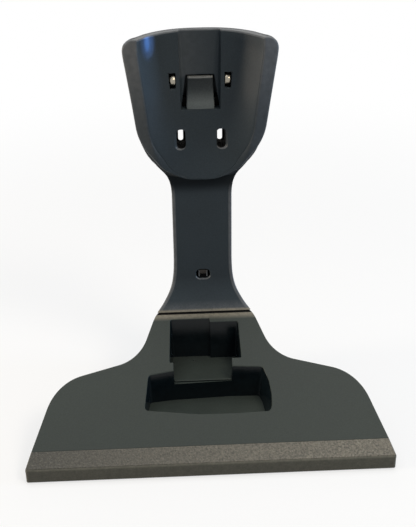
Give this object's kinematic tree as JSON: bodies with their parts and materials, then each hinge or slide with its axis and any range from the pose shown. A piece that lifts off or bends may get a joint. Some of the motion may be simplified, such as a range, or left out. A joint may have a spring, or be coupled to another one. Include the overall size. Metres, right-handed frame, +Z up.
{
  "type": "charging stand",
  "caption": "Free-standing, wall-hangable charging dock: wedge base with accessory pockets, narrow column and a curved cradle with sprung contacts and a latch tongue.",
  "frame": {"origin": "on the floor, under the middle of the overall box", "axes": "+Z up, +Y from the base's front edge towards its rear face, +X to the right of someone facing the cradle"},
  "size_m": [0.2614, 0.134, 0.287],
  "materials": {
    "column_plastic": "satin, finely grained dark slate",
    "cover_plastic": "satin, finely grained dark slate",
    "latch_plastic": "satin dark slate",
    "contact_metal": "nickel-plated spring strip",
    "carrier_plastic": "plain black moulding",
    "screw_steel": "zinc-plated",
    "lead_red": "insulated lead",
    "lead_black": "insulated lead",
    "jack_plastic": "black moulding",
    "pin_metal": "plated pin",
    "base_plastic": "satin, finely grained greenish dark grey",
    "strip_plastic": "coarse-textured brownish grey",
    "catch_plastic": "satin dark grey",
    "plate_plastic": "plain dark grey",
    "foot_rubber": "matt black"
  },
  "bodies": {
    "stand": {"front_shell": "column_plastic", "rear_cover": "cover_plastic", "contact_carrier": "carrier_plastic", "carrier_screw_left": "screw_steel", "carrier_screw_right": "screw_steel", "lead_positive": "lead_red", "lead_negative": "lead_black", "dc_jack": "jack_plastic", "jack_pin": "pin_metal", "base_shell": "base_plastic", "grip_strip": "strip_plastic", "base_plate": "plate_plastic", "rear_cover_screw_1": "screw_steel", "rear_cover_screw_2": "screw_steel", "rear_cover_screw_3": "screw_steel", "rear_cover_screw_4": "screw_steel", "rear_cover_screw_5": "screw_steel", "base_plate_screw_1": "screw_steel", "base_plate_screw_2": "screw_steel", "base_plate_screw_3": "screw_steel", "base_plate_screw_4": "screw_steel", "base_plate_screw_5": "screw_steel", "base_plate_screw_6": "screw_steel", "foot_front_left": "foot_rubber", "foot_front_right": "foot_rubber", "foot_rear_left": "foot_rubber", "foot_rear_right": "foot_rubber"},
    "tongue": {"latch_tongue": "latch_plastic"},
    "left_leaf": {"contact_left": "contact_metal"},
    "right_leaf": {"contact_right": "contact_metal"},
    "catch": {"release_catch": "catch_plastic"}
  },
  "joints": [
    {"name": "tongue_flex", "type": "hinge", "parent": "stand", "child": "tongue", "pos_m": [0, 0.054, 0.2323], "axis": [-1, 0, 0], "range_deg": [0, 6], "stiffness_Nm_per_rad": 0.4},
    {"name": "left_contact_flex", "type": "hinge", "parent": "stand", "child": "left_leaf", "pos_m": [-0.0192, 0.0551, 0.238], "axis": [-1, 0, 0], "range_deg": [0, 8], "stiffness_Nm_per_rad": 0.1},
    {"name": "right_contact_flex", "type": "hinge", "parent": "stand", "child": "right_leaf", "pos_m": [0.0192, 0.0551, 0.238], "axis": [-1, 0, 0], "range_deg": [0, 8], "stiffness_Nm_per_rad": 0.1},
    {"name": "release_flex", "type": "hinge", "parent": "stand", "child": "catch", "pos_m": [0, 0.0571, 0.07013], "axis": [-1, 0, 0], "range_deg": [0, 6], "stiffness_Nm_per_rad": 1.2}
  ]
}
